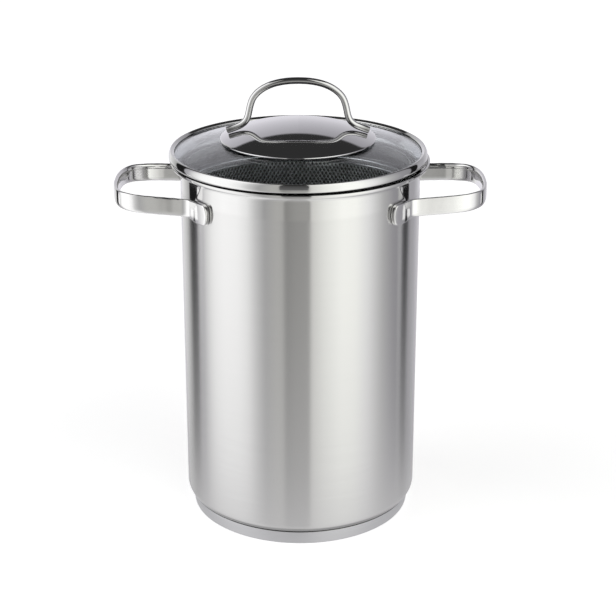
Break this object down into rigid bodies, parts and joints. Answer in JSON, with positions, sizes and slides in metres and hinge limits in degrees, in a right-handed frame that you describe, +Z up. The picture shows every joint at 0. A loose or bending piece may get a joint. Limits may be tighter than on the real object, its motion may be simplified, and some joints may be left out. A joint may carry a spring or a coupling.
{
  "type": "asparagus pot",
  "caption": "Tall cylindrical stainless steel pot with strap side handles, a lift-out wire-cloth basket and a steel-rimmed glass lid with a bow handle.",
  "frame": {"origin": "centre of the base's flat underside, on the pot's axis", "axes": "+Z up along the pot's axis; the side handles lie towards -X and +X; the picture looks from -Y towards +Y"},
  "size_m": [0.2516, 0.1748, 0.3081],
  "materials": {
    "satin_steel": "satin, brushed around the body",
    "polished_steel": "mirror polished stainless steel",
    "base_steel": "satin, turned",
    "aluminium": "plain, hidden in the base",
    "clear_glass": "clear tempered glass",
    "basket_wire": "bright drawn wire",
    "silicone": "matt"
  },
  "bodies": {
    "pot": {"pot_body": "satin_steel", "base_core": "aluminium", "base_cap": "base_steel", "side_handle_left": "polished_steel", "side_handle_right": "polished_steel"},
    "basket": {"basket_wall": "basket_wire", "basket_floor": "basket_wire", "basket_top_band": "polished_steel", "basket_foot_ring": "polished_steel", "grip_lug_left_front": "polished_steel", "grip_lug_left_rear": "polished_steel", "grip_lug_right_front": "polished_steel", "grip_lug_right_rear": "polished_steel"},
    "grip_left": {"basket_grip_left": "basket_wire"},
    "grip_right": {"basket_grip_right": "basket_wire"},
    "lid": {"lid_rim": "polished_steel", "lid_glass": "clear_glass", "lid_plate": "polished_steel", "lid_bow_handle": "polished_steel", "lid_stud": "satin_steel", "lid_nut": "polished_steel", "lid_washer": "polished_steel", "lid_seal_upper": "silicone", "lid_seal_lower": "silicone"}
  },
  "joints": [
    {"name": "basket_lift", "type": "slide", "parent": "pot", "child": "basket", "axis": [0, 0, 1], "range_m": [0, 0.25]},
    {"name": "grip_left_fold", "type": "hinge", "parent": "basket", "child": "grip_left", "pos_m": [-0.0709, 0, 0.231], "axis": [0, -1, 0], "range_deg": [0, 180]},
    {"name": "grip_right_fold", "type": "hinge", "parent": "basket", "child": "grip_right", "pos_m": [0.0709, 0, 0.231], "axis": [0, 1, 0], "range_deg": [0, 180]},
    {"name": "lid_lift", "type": "slide", "parent": "basket", "child": "lid", "axis": [0, 0, 1], "range_m": [0, 0.15]}
  ]
}
